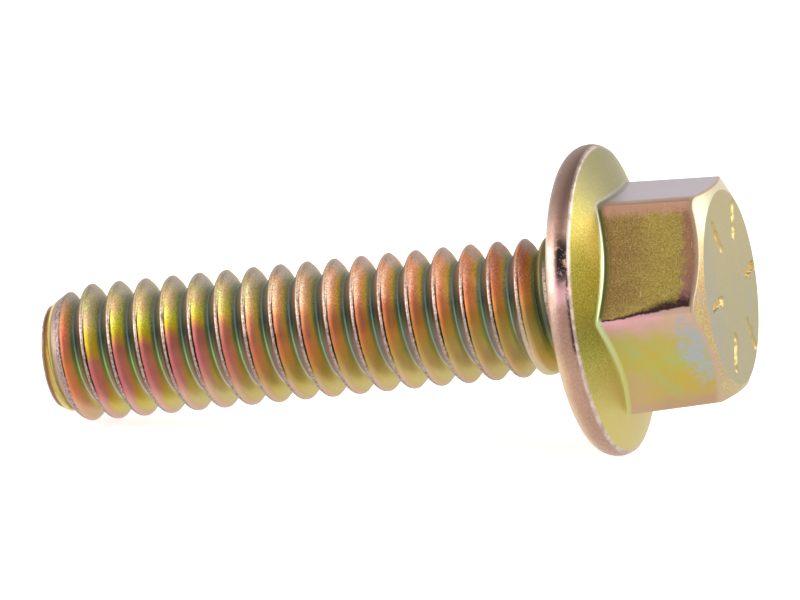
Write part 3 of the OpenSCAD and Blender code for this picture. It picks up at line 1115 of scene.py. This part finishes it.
def grain_bump(graph, lie, grain, thread):
    """Normal of the satin grain, which is stronger on the thread's upper side and weaker in front."""
    relief = graph.math("MULTIPLY_ADD", thread, graph.step(lie, 0.42, 0.2, -0.5, 0.7), 1.0)
    height = graph.math("MULTIPLY", grain, relief)
    return graph.shader("ShaderNodeBump", {"Strength": 1.0, "Distance": GRAIN_HEIGHT * MM, "Height": height})


def yellow_zinc():
    """Satin, iridescent yellow chromate over zinc."""
    material = bpy.data.materials.new("yellow_zinc")
    material.use_nodes = True
    graph = Graph(material.node_tree)
    own = graph.vector("own")
    z = graph.part(own, 2)
    lie, way = around(graph, own)
    grain = graph.noise(own, 14.0, 4.0, 0.7)
    thread = graph.number("thread")
    offset = crest_offset(graph)
    colour = thread_colour(graph, own, lie, z, offset, grain)
    colour = head_colour(graph, own, way, lie, z, grain, colour)
    surface = graph.shader("ShaderNodeBsdfPrincipled", {
        "Base Color": colour,
        "Metallic": graph.math("SUBTRACT", 0.9, worn_share(graph, lie, offset, thread)),
        "Roughness": graph.step(grain, 0.3, 0.7, 0.3, 0.42),
        "Specular IOR Level": 0.0,
        "Normal": grain_bump(graph, lie, grain, thread),
    })
    graph.node("ShaderNodeOutputMaterial", {0: surface})
    return material


def sharp_rays(graph):
    """Masks of the camera's rays, and of the rays that are mirrored or passed on."""
    path = graph.node("ShaderNodeLightPath")
    mirrored = graph.math("MAXIMUM", path.outputs["Is Glossy Ray"], path.outputs["Is Transmission Ray"])
    return path.outputs["Is Camera Ray"], mirrored


def make_world():
    """White room, with a dark strip overhead from the camera's side to the back for the metal to mirror."""
    world = bpy.data.worlds.new("room")
    bpy.context.scene.world = world
    world.use_nodes = True
    graph = Graph(world.node_tree)
    way = graph.node("ShaderNodeTexCoord").outputs["Generated"]
    strip = graph.step(graph.math("ABSOLUTE", graph.dot(way, STRIP_SIDE)), *STRIP_EDGE)
    strip = graph.both(strip, graph.step(graph.part(way, 2), *STRIP_RISE))
    seen, mirrored = sharp_rays(graph)
    level = graph.math("MULTIPLY_ADD", mirrored, MIRROR_LIFT, ROOM_LEVEL)
    shade = graph.math("MULTIPLY_ADD", strip, -STRIP_DIM, 1.0)
    strength = graph.math("MAXIMUM", graph.math("MULTIPLY", level, shade), seen)
    background = graph.shader("ShaderNodeBackground", {"Color": (1, 1, 1), "Strength": strength})
    graph.node("ShaderNodeOutputWorld", {0: background})


def make_floor():
    """White floor: plain white with a soft part of the screw's shadow in view, and white in the metal."""
    bpy.ops.mesh.primitive_plane_add(size=FLOOR_SIZE, location=(0, 0, -FLOOR_DROP))
    floor = bpy.context.object
    floor.name = "floor"
    material = bpy.data.materials.new("white_floor")
    material.use_nodes = True
    graph = Graph(material.node_tree)
    seen, mirrored = sharp_rays(graph)
    matte = graph.shader("ShaderNodeBsdfDiffuse", {"Color": FLOOR_GREY})
    glow = graph.shader("ShaderNodeEmission", {"Strength": graph.math("MULTIPLY", seen, FLOOR_GLOW)})
    lit = graph.shader("ShaderNodeAddShader", {0: matte, 1: glow})
    white = graph.shader("ShaderNodeEmission", {"Strength": 1.0})
    choice = graph.shader("ShaderNodeMixShader", {0: mirrored, 1: lit, 2: white})
    graph.node("ShaderNodeOutputMaterial", {0: choice})
    floor.data.materials.append(material)


def make_lamp(name, way, size, power):
    """A soft lamp, of a width and a height, that faces the screw from a direction."""
    data = bpy.data.lights.new(name, "AREA")
    data.shape = "RECTANGLE"
    data.size, data.size_y = size
    data.energy = power
    lamp = bpy.data.objects.new(name, data)
    way = Vector(way).normalized()
    lamp.location = way * LAMP_DISTANCE
    lamp.rotation_mode = "QUATERNION"
    lamp.rotation_quaternion = way.to_track_quat("Z", "Y")
    bpy.context.collection.objects.link(lamp)


screw = make_screw()
screw.data.materials.append(yellow_zinc())
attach(screw, "root")
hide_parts("flange_screw")

make_floor()
make_world()
make_lamp("back_lamp", way=(0.727, 0.528, 0.438), size=(0.22, 0.2), power=0.45)
make_lamp("front_lamp", way=(0.72, -0.262, 0.643), size=(0.6, 0.4), power=1.8)
make_lamp("left_lamp", way=(-0.95, -0.25, 0.2), size=(0.35, 0.35), power=1.1)
make_camera()
bpy.context.scene.view_settings.view_transform = "Standard"
